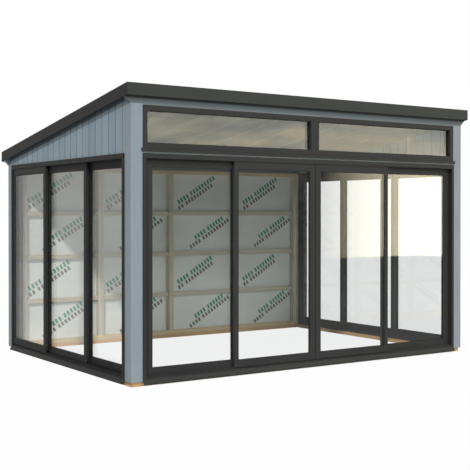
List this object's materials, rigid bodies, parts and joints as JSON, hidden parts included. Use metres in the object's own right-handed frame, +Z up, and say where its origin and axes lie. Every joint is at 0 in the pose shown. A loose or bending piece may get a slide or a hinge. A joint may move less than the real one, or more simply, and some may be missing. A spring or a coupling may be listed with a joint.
{
  "type": "garden shed",
  "caption": "Garden shed with a mono-pitch roof, glazed sliding doors on three sides, fixed lights over the front and a boarded rear wall.",
  "frame": {"origin": "ground level under the middle of the roof's outline", "axes": "+X right along the glazed front, +Y from the front to the rear wall, +Z up"},
  "size_m": [4.32, 3.079, 2.725],
  "materials": {
    "grey_paint": "opaque blue-grey paint, satin",
    "pine": "planed, untreated",
    "dark_frame": "powder-coated anthracite aluminium, satin",
    "fascia_sheet": "anthracite coated sheet, satin",
    "roofing": "dark roofing sheet, matt",
    "glass": "clear double glazing",
    "membrane": null
  },
  "bodies": {
    "shell": {"corner_posts": "pine", "corner_trims": "grey_paint", "front_beam": "grey_paint", "front_door_frame": "dark_frame", "front_door_sill": "dark_frame", "front_fascia": "fascia_sheet", "front_fixed_glass": "glass", "front_fixed_leaves": "dark_frame", "front_light_frames": "dark_frame", "front_light_glass": "glass", "front_light_rails": "grey_paint", "front_light_sill": "dark_frame", "gable_cladding_left": "grey_paint", "gable_cladding_right": "grey_paint", "gable_frame_left": "pine", "gable_frame_right": "pine", "left_door_frame": "dark_frame", "left_door_sill": "dark_frame", "left_side_fixed_glass": "glass", "left_side_fixed_leaf": "dark_frame", "rafters": "pine", "rear_beam": "grey_paint", "rear_cladding": "grey_paint", "rear_fascia": "fascia_sheet", "rear_membrane": "membrane", "rear_wall_noggins": "pine", "rear_wall_rails": "pine", "rear_wall_studs": "pine", "right_door_frame": "dark_frame", "right_door_sill": "dark_frame", "right_side_fixed_glass": "glass", "right_side_fixed_leaf": "dark_frame", "roof_covering": "roofing", "roof_deck": "pine", "side_fascias": "fascia_sheet", "sole_plates": "pine"},
    "front_left_leaf": {"front_left_glass": "glass", "front_left_leaf": "dark_frame"},
    "front_right_leaf": {"front_right_glass": "glass", "front_right_leaf": "dark_frame"},
    "left_middle_leaf": {"left_side_middle_glass": "glass", "left_side_middle_leaf": "dark_frame"},
    "left_front_leaf": {"left_side_front_glass": "glass", "left_side_front_leaf": "dark_frame"},
    "right_middle_leaf": {"right_side_middle_glass": "glass", "right_side_middle_leaf": "dark_frame"},
    "right_rear_leaf": {"right_side_rear_glass": "glass", "right_side_rear_leaf": "dark_frame"}
  },
  "joints": [
    {"name": "front_left_slide", "type": "slide", "parent": "shell", "child": "front_left_leaf", "axis": [-1, 0, 0], "range_m": [0, 0.9735]},
    {"name": "front_right_slide", "type": "slide", "parent": "shell", "child": "front_right_leaf", "axis": [1, 0, 0], "range_m": [0, 0.9735]},
    {"name": "left_middle_slide", "type": "slide", "parent": "shell", "child": "left_middle_leaf", "axis": [0, 1, 0], "range_m": [0, 0.8749]},
    {"name": "left_front_slide", "type": "slide", "parent": "shell", "child": "left_front_leaf", "axis": [0, 1, 0], "range_m": [0, 1.7815]},
    {"name": "right_middle_slide", "type": "slide", "parent": "shell", "child": "right_middle_leaf", "axis": [0, -1, 0], "range_m": [0, 0.8749]},
    {"name": "right_rear_slide", "type": "slide", "parent": "shell", "child": "right_rear_leaf", "axis": [0, -1, 0], "range_m": [0, 1.7815]}
  ]
}
